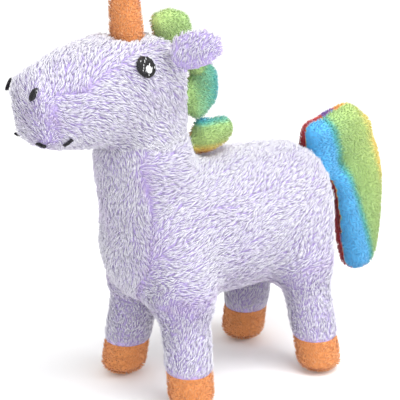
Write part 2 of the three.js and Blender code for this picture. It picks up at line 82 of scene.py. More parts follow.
# how far below and above a skin the panels' outside is looked for, how far the skin may move, and
# how far it stays under embroidery: all in mm
FIT_BELOW = 3.0
FIT_ABOVE = 5.0
FIT_MOST = 3.0
UNDER_STITCHES = 0.4
FIT_SMOOTHING = 3

# how far from a seam the cloth is held, how far from it the full swell is reached, in mm, and for
# how many steps the stuffing presses
HELD_WIDTH = 6
SWELL_WIDTH = 7
SWELL_STEPS = 20

# the share of its height at which a tuft bends, how many tufts gather in a clump, and how far the
# tufts stray from their lie
KNEE = 0.45
CLUMP_SIZE = 7
STRAY = 0.22

# where pile is left out: this near to a seam or to stitches, and how far from a seam it is shorter
SEAM_BARE = 0.2
STITCH_BARE = 1.1
SEAM_SHORT = 0.7
# how far from a seam painted shade darkens the pile
SEAM_SHADE_REACH = 0.8

EMBROIDERY = [n for n in nodes if n.startswith(("eye_black", "nostril", "mouth"))]

SIDES = ("left", "right")
LEGS = [f"{end}_{side}" for end in ("front", "hind") for side in SIDES]
LOBES = ("forelock", "crown", "nape", "withers")

# ------------------------------------------------------------------ dyes and finishes


def dye(red, green, blue):
    parts = [c / 255 for c in (red, green, blue)]
    return [c / 12.92 if c < 0.04 else ((c + 0.055) / 1.055) ** 2.4 for c in parts] + [1.0]


# the lavender dye from darker, pinker tufts to lighter ones; painted shade moves tufts towards its
# dark end
LAVENDER_TIPS = [
    (0.0, dye(194, 168, 206)),
    (0.3, dye(208, 196, 222)),
    (0.6, dye(225, 224, 232)),
    (1.0, dye(237, 238, 240)),
]
TAN_TIPS = [
    (0.0, dye(206, 136, 80)),
    (0.5, dye(226, 162, 106)),
    (1.0, dye(240, 190, 144)),
]
RAINBOW = [
    # painted shade: the darkest red stands for the tail's red in shade
    (0.0, dye(112, 22, 26)),
    (0.1, dye(198, 32, 44)),
    (0.2, dye(230, 92, 50)),
    (0.3, dye(244, 214, 110)),
    (0.4, dye(184, 208, 128)),
    (0.52, dye(164, 200, 130)),
    (0.6, dye(88, 178, 166)),
    (0.68, dye(98, 186, 232)),
    (0.8, dye(84, 174, 226)),
    (0.9, dye(136, 66, 156)),
    (1.0, dye(92, 40, 120)),
]
# the tones that the stripes take from the rainbow, the darkest red being red in painted shade
RED_IN_SHADE, ORANGE_RED, ORANGE, YELLOW, LIME = 0.0, 0.15, 0.2, 0.3, 0.4
GREEN, TEAL, SKY, BLUE, PURPLE = 0.5, 0.6, 0.7, 0.78, 0.9
# what each dye is multiplied by deep in the pile, where less light reaches
DEEP_LAVENDER = (0.83, 0.79, 0.90, 1.0)
DEEP_TAN = (0.90, 0.78, 0.68, 1.0)
DEEP_STRIPE = (0.74, 0.74, 0.78, 1.0)


def ramp(tree, stops):
    node = tree.nodes.new("ShaderNodeValToRGB")
    bands = node.color_ramp.elements
    while len(bands) < len(stops):
        bands.new(0.5)
    for band, (place, colour) in zip(bands, stops):
        band.position = place
        band.color = colour
    return node


def soft_finish(name, roughness, sheen):
    material = bpy.data.materials.new(name)
    material.use_nodes = True
    tree = material.node_tree
    shader = tree.nodes["Principled BSDF"]
    shader.inputs["Roughness"].default_value = roughness
    shader.inputs["Specular IOR Level"].default_value = 0.15
    shader.inputs["Sheen Weight"].default_value = sheen
    shader.inputs["Sheen Roughness"].default_value = 0.5
    return material, tree, shader


def pile_finish(name, tips, deep):
    """Pile whose shade follows its own map: across the map the dye, up the map from root to tip."""
    material, tree, shader = soft_finish(name, 0.85, 0.25)
    own = tree.nodes.new("ShaderNodeUVMap")
    own.uv_map = MAP
    split = tree.nodes.new("ShaderNodeSeparateXYZ")
    tree.links.new(own.outputs["UV"], split.inputs["Vector"])
    colour = ramp(tree, tips)
    tree.links.new(split.outputs["X"], colour.inputs["Fac"])
    depth = ramp(tree, [(0.0, (1, 1, 1, 1)), (0.75, (0, 0, 0, 1))])
    tree.links.new(split.outputs["Y"], depth.inputs["Fac"])
    mixed = tree.nodes.new("ShaderNodeMix")
    mixed.data_type = "RGBA"
    mixed.blend_type = "MULTIPLY"
    tree.links.new(depth.outputs["Color"], mixed.inputs["Factor"])
    tree.links.new(colour.outputs["Color"], mixed.inputs["A"])
    mixed.inputs["B"].default_value = deep
    tree.links.new(mixed.outputs["Result"], shader.inputs["Base Color"])
    return material


def grain(tree, shader, scale, height):
    place = tree.nodes.new("ShaderNodeTexCoord")
    speckle = tree.nodes.new("ShaderNodeTexNoise")
    speckle.inputs["Scale"].default_value = scale
    speckle.inputs["Detail"].default_value = 4
    tree.links.new(place.outputs["Object"], speckle.inputs["Vector"])
    bump = tree.nodes.new("ShaderNodeBump")
    bump.inputs["Strength"].default_value = 0.6
    bump.inputs["Distance"].default_value = height
    tree.links.new(speckle.outputs["Fac"], bump.inputs["Height"])
    tree.links.new(bump.outputs["Normal"], shader.inputs["Normal"])
    return speckle


def cloth_finish(name, low, high):
    """Knitted backing, seen between the tufts of the pile."""
    material, tree, shader = soft_finish(name, 0.9, 0.2)
    speckle = grain(tree, shader, 900, 0.2 * MM)
    colour = ramp(tree, [(0.3, low), (0.7, high)])
    tree.links.new(speckle.outputs["Fac"], colour.inputs["Fac"])
    tree.links.new(colour.outputs["Color"], shader.inputs["Base Color"])
    return material


def striped_cloth_finish(name):
    """Knitted backing dyed in stripes, whose place is kept on the cloth itself."""
    material, tree, shader = soft_finish(name, 0.9, 0.2)
    grain(tree, shader, 900, 0.2 * MM)
    stripe = tree.nodes.new("ShaderNodeAttribute")
    stripe.attribute_name = "stripe"
    colour = ramp(tree, RAINBOW)
    tree.links.new(stripe.outputs["Fac"], colour.inputs["Fac"])
    tree.links.new(colour.outputs["Color"], shader.inputs["Base Color"])
    return material


def thread_finish(name, low, high, roughness):
    material, tree, shader = soft_finish(name, roughness, 0.1)
    shader.inputs["Specular IOR Level"].default_value = 0.3
    shader.inputs["Anisotropic"].default_value = 0.5
    speckle = grain(tree, shader, 1600, 0.05 * MM)
    colour = ramp(tree, [(0.35, low), (0.65, high)])
    tree.links.new(speckle.outputs["Fac"], colour.inputs["Fac"])
    tree.links.new(colour.outputs["Color"], shader.inputs["Base Color"])
    return material


lavender_pile = pile_finish("lavender_pile", LAVENDER_TIPS, DEEP_LAVENDER)
tan_pile = pile_finish("tan_pile", TAN_TIPS, DEEP_TAN)
rainbow_pile = pile_finish("rainbow_pile", RAINBOW, DEEP_STRIPE)
lavender_cloth = cloth_finish("lavender_cloth", dye(166, 148, 202), dye(192, 178, 222))
tan_cloth = cloth_finish("tan_cloth", dye(200, 126, 70), dye(222, 152, 96))
rainbow_cloth = striped_cloth_finish("rainbow_cloth")
fibre = cloth_finish("stuffing_fibre", dye(214, 212, 206), dye(244, 243, 240))
black_thread = thread_finish("black_thread", dye(5, 5, 7), dye(20, 19, 24), 0.22)
white_thread = thread_finish("white_thread", dye(226, 226, 230), dye(250, 250, 250), 0.35)

# ------------------------------------------------------------------ cloth and stuffing


def add(name, mesh):
    obj = bpy.data.objects.new(name, mesh)
    bpy.context.scene.collection.objects.link(obj)
    return obj


def baked_shape(obj):
    """The object's own mesh with its modifiers put into it."""
    bpy.context.view_layer.update()
    graph = bpy.context.evaluated_depsgraph_get()
    shape = bpy.data.meshes.new_from_object(obj.evaluated_get(graph), depsgraph=graph)
    obj.modifiers.clear()
    old = obj.data
    obj.data = shape
    bpy.data.meshes.remove(old)
    return obj


def points_of(mesh):
    co = np.empty(len(mesh.vertices) * 3)
    mesh.vertices.foreach_get("co", co)
    return co.reshape(-1, 3)


def normals_of(mesh):
    out = np.empty(len(mesh.vertices) * 3)
    mesh.vertices.foreach_get("normal", out)
    return out.reshape(-1, 3)


def place_points(mesh, co):
    mesh.vertices.foreach_set("co", co.astype(np.float32).ravel())
    mesh.update()


def largest_island(mesh):
    bm = bmesh.new()
    bm.from_mesh(mesh)
    left, best = set(bm.faces), []
    while left:
        seed = next(iter(left))
        left.discard(seed)
        group, edge = [seed], [seed]
        while edge:
            face = edge.pop()
            for side in face.edges:
                for other in side.link_faces:
                    if other in left:
                        left.discard(other)
                        group.append(other)
                        edge.append(other)
        if len(group) > len(best):
            best = group
    keep = set(best)
    bmesh.ops.delete(bm, geom=[f for f in bm.faces if f not in keep], context="FACES")
    bm.to_mesh(mesh)
    bm.free()


def joined_form(label, names, fillers, voxel, smooth):
    """One closed skin round all of the named solids and filler balls."""
    bm = bmesh.new()
    for name in names:
        bm.from_mesh(nodes[name].data)
    bmesh.ops.remove_doubles(bm, verts=bm.verts, dist=MERGE)
    for centre, radius in fillers:
        where = Matrix.Translation(Vector(centre) * MM)
        bmesh.ops.create_icosphere(bm, subdivisions=3, radius=radius * MM, matrix=where)
    mesh = bpy.data.meshes.new(label)
    bm.to_mesh(mesh)
    bm.free()
    obj = add(label, mesh)
    remesh = obj.modifiers.new("close", "REMESH")
    remesh.mode = "VOXEL"
    remesh.voxel_size = voxel * MM
    baked_shape(obj)
    largest_island(obj.data)
    bm = bmesh.new()
    bm.from_mesh(obj.data)
    for _ in range(smooth):
        bmesh.ops.smooth_vert(
            bm, verts=bm.verts, factor=0.5, use_axis_x=True, use_axis_y=True, use_axis_z=True
        )
    bm.to_mesh(obj.data)
    bm.free()
    return obj


def tree_of(mesh):
    mesh.calc_loop_triangles()
    corners = [tuple(t.vertices) for t in mesh.loop_triangles]
    return BVHTree.FromPolygons([v.co.copy() for v in mesh.vertices], corners)


node_trees = {}


def node_tree(name):
    if name not in node_trees:
        node_trees[name] = tree_of(nodes[name].data)
    return node_trees[name]


def nearest_panels(co, panels):
    """For each point, which panel is nearest, and how far the seam with the next panel is."""
    # the tail and the mane's lobes are sewn from a left and a right half
    if panels[0].startswith(("tail", "mane")):
        return (co[:, 0] < 0).astype(int), np.abs(co[:, 0])
    far = np.empty((len(panels), len(co)))
    for k, panel in enumerate(panels):
        tree = node_tree(panel)
        far[k] = [tree.find_nearest(Vector(p))[3] for p in co]
    order = np.sort(far, axis=0)
    if len(panels) < 2:
        return far.argmin(0), np.full(len(co), 1.0)
    seam = np.sqrt(np.maximum(order[1] ** 2 - order[0] ** 2, 0))
    return far.argmin(0), seam


def sink_in(obj, depth):
    """The cloth lies under its pile, and closer to the floor under a sole."""
    co, normal = points_of(obj.data), normals_of(obj.data)
    sole = np.clip(-normal[:, 2], 0, 1) * (co[:, 2] < 9 * MM)
    place_points(obj.data, co - normal * (depth * MM * (1 - 0.62 * sole))[:, None])


def stitches_away(co):
    """How far each point is from the nearest embroidered patch."""
    away = np.full(len(co), 1.0)
    for name in EMBROIDERY:
        low, high = (np.array(v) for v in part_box(name))
        close = np.all((co > low - 8 * MM) & (co < high + 8 * MM), axis=1)
        for index in np.flatnonzero(close):
            far = node_tree(name).find_nearest(Vector(co[index]))[3]
            away[index] = min(away[index], far)
    return away


def fitted(obj, panels, depth):
    """The skin is brought back to its depth under the outside of the panels it stands for."""
    bm = bmesh.new()
    for panel in panels:
        bm.from_mesh(nodes[panel].data)
    whole = bpy.data.meshes.new("whole")
    bm.to_mesh(whole)
    bm.free()
    tree = tree_of(whole)
    bpy.data.meshes.remove(whole)
    co, normal = points_of(obj.data), normals_of(obj.data)
    move, raised = np.zeros(len(co)), np.zeros(len(co))
    for index, (point, way) in enumerate(zip(co, normal)):
        way = Vector(way)
        start = Vector(point) - way * FIT_BELOW * MM
        travelled, outside = 0.0, None
        while travelled < (FIT_BELOW + FIT_ABOVE) * MM:
            reach = (FIT_BELOW + FIT_ABOVE) * MM - travelled
            where, face_normal, _, far = tree.ray_cast(start + way * travelled, way, reach)
            if where is None:
                break
            travelled += far + 0.01 * MM
            if face_normal.dot(way) > 0.35:
                outside = travelled
        if outside is not None:
            gap = outside - FIT_BELOW * MM - depth * MM
            move[index] = np.clip(gap, -FIT_MOST * MM, FIT_MOST * MM)
            raised[index] = np.clip(outside - (FIT_BELOW + UNDER_STITCHES) * MM, 0, 5 * MM)
    ends = np.empty(len(obj.data.edges) * 2, int)
    obj.data.edges.foreach_get("vertices", ends)
    first, second = ends.reshape(-1, 2).T
    share = np.bincount(first, minlength=len(co)) + np.bincount(second, minlength=len(co))
    for _ in range(FIT_SMOOTHING):
        near = np.bincount(first, move[second], len(co)) + np.bincount(second, move[first], len(co))
        move = 0.5 * move + 0.5 * near / np.maximum(share, 1)
    under = np.clip(1.8 - stitches_away(co) / (3 * MM), 0, 1)
    move = move + (raised - move) * under
    place_points(obj.data, co + normal * move[:, None])


def plumped(obj, seam, swell):
    """The closed skin is blown up softly from inside, held along its seams."""
    rest = points_of(obj.data)
    held = obj.vertex_groups.new(name="held")
    for index, far in enumerate(seam):
        held.add([index], float(np.clip(1.15 - far / (HELD_WIDTH * MM), 0, 1)), "REPLACE")
    cloth = obj.modifiers.new("stuffed", "CLOTH")
    cloth.settings.quality = 4
    cloth.settings.use_pressure = True
    cloth.settings.uniform_pressure_force = 4
    cloth.settings.vertex_group_mass = "held"
    cloth.settings.effector_weights.gravity = 0
    cloth.collision_settings.use_collision = False
    scene = bpy.context.scene
    for step in range(1, SWELL_STEPS + 1):
        scene.frame_set(step)
    graph = bpy.context.evaluated_depsgraph_get()
    blown = bpy.data.meshes.new_from_object(obj.evaluated_get(graph), depsgraph=graph)
    move = points_of(blown) - rest
    bpy.data.meshes.remove(blown)
    obj.modifiers.clear()
    scene.frame_set(1)
    length = np.linalg.norm(move, axis=1)
    limit = swell * MM * np.clip(seam / (SWELL_WIDTH * MM), 0, 1) ** 0.6
    share = np.where(length > limit, limit / np.maximum(length, 1e-9), 1.0)
    place_points(obj.data, rest + move * share[:, None])
    return obj


def rounded(obj):
    """One subdivision, put into the mesh."""
    finer = obj.modifiers.new("rounded", "SUBSURF")
    finer.levels = finer.render_levels = 1
    return baked_shape(obj)


def cut_level(mesh, height):
    """A clean ring of edges round the legs, where the hooves are sewn on."""
    bm = bmesh.new()
    bm.from_mesh(mesh)
    low = [f for f in bm.faces if max(v.co.z for v in f.verts) < height + 8 * MM]
    edges = {e for f in low for e in f.edges}
    verts = {v for f in low for v in f.verts}
    geometry = low + list(edges) + list(verts)
    bmesh.ops.bisect_plane(
        bm, geom=geometry, dist=1e-6, plane_co=(0, 0, height), plane_no=(0, 0, 1)
    )
    bm.to_mesh(mesh)
    bm.free()


# ------------------------------------------------------------------ pile


def tuft_shape():
    """A three-sided tuft, one high, closed at its root: its points, faces and heights."""
    bm = bmesh.new()
    bmesh.ops.create_cone(
        bm, cap_ends=True, cap_tris=True, segments=3, radius1=0.62, radius2=0.0, depth=1.0
    )
    bmesh.ops.remove_doubles(bm, verts=bm.verts, dist=1e-4)
    bmesh.ops.translate(bm, verts=bm.verts, vec=(0, 0, 0.5))
    geometry = list(bm.faces) + list(bm.edges) + list(bm.verts)
    bmesh.ops.bisect_plane(bm, geom=geometry, dist=1e-6, plane_co=(0, 0, KNEE), plane_no=(0, 0, 1))
    ring = [v for v in bm.verts if abs(v.co.z - KNEE) < 0.05]
    bmesh.ops.scale(bm, verts=ring, vec=(1.55, 1.55, 1))
    bmesh.ops.recalc_face_normals(bm, faces=bm.faces)
    bm.verts.index_update()
    points = np.array([v.co for v in bm.verts])
    faces = [[v.index for v in f.verts] for f in bm.faces]
    bm.free()
    return points, faces


TUFT_POINTS, TUFT_FACES = tuft_shape()


def unit(vectors):
    return vectors / np.maximum(np.linalg.norm(vectors, axis=1), 1e-9)[:, None]


def scattered(mesh, density, rng):
    """Places spread evenly over the mesh: face, corner weights, point and smooth normal."""
    mesh.calc_loop_triangles()
    corners = np.empty(len(mesh.loop_triangles) * 3, int)
    mesh.loop_triangles.foreach_get("vertices", corners)
    corners = corners.reshape(-1, 3)
    co, normal = points_of(mesh), normals_of(mesh)
    a, b, c = (co[corners[:, k]] for k in range(3))
    area = np.linalg.norm(np.cross(b - a, c - a), axis=1) / 2
    total = np.cumsum(area)
    count = int(total[-1] / MM**2 * density)
    at = (np.arange(count) + rng.random(count)) / count * total[-1]
    face = np.minimum(np.searchsorted(total, at), len(area) - 1)
    u, v = rng.random(count), rng.random(count)
    flip = u + v > 1
    u[flip], v[flip] = 1 - u[flip], 1 - v[flip]
    weights = np.stack([1 - u - v, u, v], 1)
    own = corners[face]
    root = (co[own] * weights[:, :, None]).sum(1)
    up = unit((normal[own] * weights[:, :, None]).sum(1))
    return own, weights, root, up


def drifting(points, scale, offset):
    """Slow random change from place to place, about -1 to 1."""
    return np.array([noise.noise(Vector(p) * scale + Vector((offset, 0, 0))) for p in points])


def combed(root, up, guides):
    """The lie of the pile: the directions of the guide strokes, mixed by nearness."""
    total = np.zeros_like(root)
    for place, stroke in guides:
        far = np.linalg.norm(root - np.array(place) * MM, axis=1) / MM
        total += np.array(stroke, float)[None] / np.linalg.norm(stroke) / (far[:, None] ** 2 + 100)
    total -= up * (total * up).sum(1)[:, None]
    return unit(total)


def pile_mesh(name, root, up, lie, tone, bright, length, width, lean, clump, rng):
    """Tufts that stand on their roots, bend over along the lie, and gather in clumps."""
    count = len(root)
    size = length * MM * rng.uniform(0.75, 1.15, count)
    across = unit(np.cross(lie, up))
    stray = rng.normal(0, STRAY, count)[:, None]
    along = unit(lie + across * stray)
    low = unit(up * np.cos(lean * 0.7)[:, None] + along * np.sin(lean * 0.7)[:, None])
    high = unit(up * np.cos(lean * 1.25)[:, None] + along * np.sin(lean * 1.25)[:, None])
    middle = root + low * (size * KNEE)[:, None]
    tip = middle + high * (size * (1 - KNEE))[:, None]
    if clump > 0:
        chosen = rng.choice(count, max(1, count // CLUMP_SIZE), replace=False)
        finder = kdtree.KDTree(len(chosen))
        for k, index in enumerate(chosen):
            finder.insert(Vector(root[index]), k)
        finder.balance()
        leader = chosen[[finder.find(Vector(p))[1] for p in root]]
        pull = tip[leader] - tip
        pull -= up * (pull * up).sum(1)[:, None] * 0.4
        tip = tip + pull * clump
        middle = middle + pull * clump * 0.3
        bright = bright * (1 - rng.uniform(0, 0.16, count)[leader])
    lateral = unit(np.cross(tip - root, up))
    thick = unit(np.cross(lateral, tip - root))
    reach = width * MM * rng.uniform(0.75, 1.2, count)
    heights = TUFT_POINTS[:, 2]
    middles = np.clip(heights / KNEE, 0, 1)[None, :, None]
    tips = np.clip((heights - KNEE) / (1 - KNEE), 0, 1)[None, :, None]
    line = root[:, None] + (middle - root)[:, None] * middles + (tip - middle)[:, None] * tips
    spin = rng.uniform(0, 2 * np.pi, count)
    turned_x = np.cos(spin)[:, None] * TUFT_POINTS[:, 0] - np.sin(spin)[:, None] * TUFT_POINTS[:, 1]
    turned_y = np.sin(spin)[:, None] * TUFT_POINTS[:, 0] + np.cos(spin)[:, None] * TUFT_POINTS[:, 1]
    shape = line + (
        lateral[:, None] * (turned_x * reach[:, None] * 0.5)[:, :, None]
        + thick[:, None] * (turned_y * reach[:, None] * 0.36)[:, :, None]
    )
    shape = shape.reshape(-1, 3)
    shape[:, 2] = np.maximum(shape[:, 2], 0.05 * MM)
    step = len(TUFT_POINTS)
    loops = np.concatenate([np.array(f) for f in TUFT_FACES])
    sides = np.array([len(f) for f in TUFT_FACES])
    every = (np.arange(count)[:, None] * step + loops).ravel()
    mesh = bpy.data.meshes.new(name)
    mesh.vertices.add(len(shape))
    mesh.vertices.foreach_set("co", shape.astype(np.float32).ravel())
    mesh.loops.add(len(every))
    mesh.loops.foreach_set("vertex_index", every.astype(np.int32))
    mesh.polygons.add(count * len(sides))
    starts = np.concatenate([[0], np.cumsum(np.tile(sides, count))[:-1]])
    mesh.polygons.foreach_set("loop_start", starts.astype(np.int32))
    mesh.update(calc_edges=True)
    mesh.validate()
    mesh.shade_smooth()
    own = mesh.uv_layers.new(name=MAP)
    tone_at = 0.02 + 0.96 * tone[:, None] + TUFT_POINTS[loops, 0] * 0.012
    height_at = 0.03 + 0.94 * heights[loops][None] * bright[:, None]
    own.uv.foreach_set("vector", np.stack([tone_at, height_at], 2).astype(np.float32).ravel())
    return mesh


# ------------------------------------------------------------------ forms

print("forms")
forms = {}

# where handfuls of stuffing round out each lobe of the mane: y, z and radius
LOBE_SWELLS = {
    "forelock": [(-37, 198, 6.5), (-31, 199, 6.5), (-25, 197, 6)],
    "crown": [(-18, 176, 6.5), (-14, 172, 6.5)],
    "nape": [(-15, 150, 6.5), (-11, 155, 7), (-9, 161, 7), (-9, 167, 7), (-12, 171, 6.5)],
    "withers": [(-8, 135, 7), (-3, 138, 7), (1, 139, 6.5), (-12, 141, 6)],
}

# the same for the tail
TAIL_SWELLS = [
    (83.5, 92, 9.5),
    (86, 80, 9.5),
    (89, 68, 9.5),
    (92, 56, 9.5),
    (95, 46, 9.5),
    (76, 127, 9.5),
    (86, 129.5, 9.5),
    (95, 122, 9.5),
    (63, 124, 9),
    (68, 103, 9),
]


def make_form(label, panels, inside, voxel, smooth, sink, swell, fillers=()):
    """A stuffed form: its skin under the pile, with the panels that it is sewn from."""
    obj = joined_form("form_" + label, panels + inside, fillers, voxel, smooth)
    sink_in(obj, sink)
    if label == "head":
        fitted(obj, panels, sink)
    co = points_of(obj.data)
    _, seam = nearest_panels(co, panels)
    if label == "head":
        seam = np.minimum(seam, np.maximum(stitches_away(co) - 4 * MM, 0))
    plumped(obj, seam, swell)
    rounded(obj)
    forms[label] = {"obj": obj, "panels": panels}
    return obj


def mirrored_spots(spots):
    return [((side * x, y, z), r) for x, y, z, r in spots for side in (1, -1)]


leg_panels = [f"{kind}_{leg}" for leg in LEGS for kind in ("leg_sleeve", "hoof_cap")]
body_fill = mirrored_spots([(21.5, -36.5, 62, 15.5), (22.5, 41, 62, 15.5)])
body_fill.append(((0, -48, 133), 26))
body = make_form(
    "body",
    ["body_side_left", "body_side_right", "chest_gusset", "belly_gusset"] + leg_panels,
    ["torso_stuffing"] + ["leg_stuffing_" + leg for leg in LEGS],
    voxel=3.4,
    smooth=5,
    sink=2.6,
    swell=1.7,
    fillers=body_fill,
)
hoof_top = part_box("hoof_cap_front_left")[1].z
cut_level(body.data, hoof_top)
throat_fill = [((0, -48, 140), 26.4), ((0, -48, 146), 26.3), ((0, -48, 152), 26)]
throat_fill.append(((0, -52, 186), 8))
make_form(
    "head",
    ["head_side_left", "head_side_right", "head_gusset"],
    ["head_stuffing"],
    voxel=3.2,
    smooth=4,
    sink=2.6,
    swell=1.7,
    fillers=throat_fill,
)
make_form(
    "horn", ["horn_cover"], ["horn_stuffing"], voxel=2.2, smooth=2, sink=1.4, swell=0.8
)
for side in SIDES:
    make_form(
        "ear_" + side,
        [f"ear_outer_{side}", f"ear_inner_{side}"],
        [],
        voxel=1.8,
        smooth=2,
        sink=1.0,
        swell=0.6,
    )
for lobe in LOBES:
    make_form(
        "mane_" + lobe,
        [f"mane_{lobe}_left", f"mane_{lobe}_right"],
        [f"mane_{lobe}_stuffing"],
        voxel=2.4,
        smooth=3,
        sink=1.5,
        swell=1.2,
        fillers=[((0, y, z), r) for y, z, r in LOBE_SWELLS[lobe]],
    )
tail_fill = [((0, y, z), r) for y, z, r in TAIL_SWELLS]
make_form(
    "tail",
    ["tail_left", "tail_right"],
    ["tail_stuffing"],
    voxel=2.8,
    smooth=8,
    sink=1.3,
    swell=1.2,
    fillers=tail_fill,
)

for form in forms.values():
    mesh = form["obj"].data
    form["tree"] = tree_of(mesh)
    co = points_of(mesh)
    form["low"], form["high"] = co.min(0), co.max(0)
    _, form["seam"] = nearest_panels(co, form["panels"])
    centres = np.empty(len(mesh.polygons) * 3)
    mesh.polygons.foreach_get("center", centres)
    form["panel"], _ = nearest_panels(centres.reshape(-1, 3), form["panels"])
    if form["obj"] is body:
        names = form["panels"]
        for index, centre in enumerate(centres.reshape(-1, 3)):
            name = names[form["panel"][index]]
            if name.startswith("hoof_cap") and centre[2] > hoof_top:
                form["panel"][index] = names.index(name.replace("hoof_cap", "leg_sleeve"))
            elif name.startswith("leg_sleeve") and centre[2] < hoof_top:
                form["panel"][index] = names.index(name.replace("leg_sleeve", "hoof_cap"))

# ------------------------------------------------------------------ how each piece moves and lies


def body_of_node(name):
    for key in frame["bodies"]:
        if name in frame["record"]["behaviour"]["bodies"][key]:
            return key
    raise ValueError(name)


def settle(obj, node):
    """A leg's sleeve stays where it lies, attached to no body; all else moves with its own body."""
    own = body_of_node(node)
    if node.startswith("leg_sleeve"):
        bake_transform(obj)
    else:
        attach(obj, own)


BODY_GUIDES = [
    ((30, -58, 112), (0, 1, 0.5)),
    ((33, -54, 85), (0, 1, 0.35)),
    ((33, -30, 105), (0, 1, 0.4)),
    ((33, -20, 75), (0, 1, 0.5)),
    ((33, 5, 112), (0, 1, 0.45)),
    ((33, 8, 80), (0, 1, 0.7)),
    ((33, 35, 105), (0, 1, 0.9)),
    ((33, 45, 80), (0, 0.6, 1.0)),
    ((28, 62, 90), (0, 0.3, 1)),
    ((12, -20, 127), (-0.6, 1, 0.2)),
    ((12, 30, 127), (-0.5, 1, 0.2)),
]
CHEST_GUIDES = [((0, -66, 110), (0.12, 0.1, -1)), ((0, -60, 70), (0.1, 0.2, -1))]
BELLY_GUIDES = [((0, 0, 50), (0, 1, 0.1))]
LEG_GUIDES = [((25, -38, 40), (0.05, 0.1, 1)), ((28, 42, 40), (0.05, 0.1, 1))]
HOOF_GUIDES = [((30, 0, 10), (0, 0.1, 1))]
HEAD_GUIDES = [
    ((18, -104, 154), (0, 1, -1)),
    ((22, -92, 158), (0, 1, 0.1)),
    ((25, -80, 166), (0, 1, 0.1)),
    ((25, -76, 150), (0, 1, 0.25)),
    ((18, -70, 142), (0, 1, 0.25)),
    ((26, -64, 170), (0, 1, -1.1)),
    ((25, -48, 166), (0, 0.3, -1)),
    ((24, -45, 148), (0, 0.2, -1)),
    ((24, -38, 178), (0, 0.3, -1)),
]
GUSSET_GUIDES = [
    ((0, -116, 158), (-0.1, 0.2, 1)),
    ((8, -108, 180), (-0.35, 0.6, 0.8)),
    ((0, -88, 194), (-0.4, 1, 0.3)),
    ((0, -60, 197), (-0.3, 1, 0.2)),
    ((0, -34, 185), (-0.1, 1, -1)),
]
EAR_GUIDES = [((0, 0, 0), (0, 0.5, 1))]
HORN_GUIDES = [((0, -55, 200), (0, 0, 1))]
TAIL_GUIDES = [
    ((0, 66, 112), (0, 0.7, 0.7)),
    ((0, 86, 120), (0, 1, -0.3)),
    ((0, 100, 95), (0, 0.2, -1)),
    ((0, 102, 60), (0, 0, -1)),
]
LOBE_GUIDES = [((0, -10, 150), (0, 0.8, -0.6))]


def guides_for(node):
    if node.startswith("body_side"):
        return BODY_GUIDES
    if node.startswith("leg_sleeve"):
        return LEG_GUIDES
    if node.startswith("head_side"):
        return HEAD_GUIDES
    table = {
        "chest_gusset": CHEST_GUIDES,
        "belly_gusset": BELLY_GUIDES,
        "head_gusset": GUSSET_GUIDES,
        "hoof": HOOF_GUIDES,
        "horn": HORN_GUIDES,
        "ear": EAR_GUIDES,
        "tail": TAIL_GUIDES,
        "mane": LOBE_GUIDES,
    }
    return next(table[key] for key in table if node.startswith(key))


def mirrored(guides, node):
    if not node.endswith("right"):
        return guides
    return [((-x, y, z), (-i, j, k)) for (x, y, z), (i, j, k) in guides]


# ------------------------------------------------------------------ stripes of mane and tail

# the line between the blue and the green stripe on the side of the tail, in y and z
TAIL_LINE = np.array([(64, 141), (77, 114), (91, 82.5), (104, 49), (111, 30)], float)


def past_line(points):
    """How far a point is from the tail's blue and green line, in mm, green side positive."""
    flat = points[:, 1:] / MM
    best = np.full(len(flat), 1e9)
    signed = np.zeros(len(flat))
    for start, end in zip(TAIL_LINE, TAIL_LINE[1:]):
        leg = end - start
        t = np.clip(((flat - start) @ leg) / (leg @ leg), 0, 1)
        gap = flat - (start + t[:, None] * leg)
        far = np.linalg.norm(gap, axis=1)
        side = gap @ np.array((-leg[1], leg[0]))
        signed = np.where(far < best, np.where(side > 0, far, -far), signed)
        best = np.minimum(best, far)
    return signed


def tail_stripes(points):
    x, y, z = points.T / MM
    past = past_line(points)
    near = np.interp(past, [-12, -4, 0, 4, 18, 26], [BLUE, SKY, TEAL, GREEN, LIME, YELLOW])
    near = np.where((np.abs(x) < 3.5) & (z > 95) & (y > 95), YELLOW, near)
    inner = (past < -8.5) & (x < np.interp(z, [45, 75], [0.5, 3])) & (z < 105)
    # painted shade: high on the tail's inner side, towards the body, the red is the darkest red
    under = np.where(z > 62, RED_IN_SHADE, np.where(z > 56, PURPLE, ORANGE_RED))
    near = np.where(inner, under, near)
    near = np.where(((y - 47) * 0.858 + (z - 119) * 0.515 < 3.5) & (z > 90), PURPLE, near)
    # the far half runs from red in painted shade at its edge through red to orange and yellow
    far = np.interp(past, [-25, -12, 0, 8, 18, 28], [RED_IN_SHADE, 0.06, 0.12, ORANGE, YELLOW, 0.42])
    far = np.where((past > 1) & (past < 9) & (z > 126), PURPLE, far)
    return np.where(x > 0, near, far)


def lobe_stripes(label, points):
    low, high = forms[label]["low"], forms[label]["high"]
    part = (points - low) / (high - low)
    if label == "mane_forelock":
        tone = np.interp(part[:, 1], [0, 1], [0.44, 0.5])
    elif label == "mane_crown":
        tone = np.interp(part[:, 1], [0.2, 0.55, 0.8, 1], [0.44, 0.5, 0.6, 0.7])
    elif label == "mane_nape":
        tone = np.interp(part[:, 1], [0.1, 0.5, 0.8, 1], [0.46, 0.55, 0.6, 0.68])
    else:
        tone = np.interp(part[:, 2], [0, 0.16, 0.35, 0.75, 1], [0.24, 0.31, 0.42, 0.5, 0.66])
    return np.where(points[:, 0] < -2.5 * MM, np.clip(tone - 0.2, 0.02, 1), tone)


def stripes_at(label, points):
    return tail_stripes(points) if label == "tail" else lobe_stripes(label, points)


# ------------------------------------------------------------------ panels with their pile

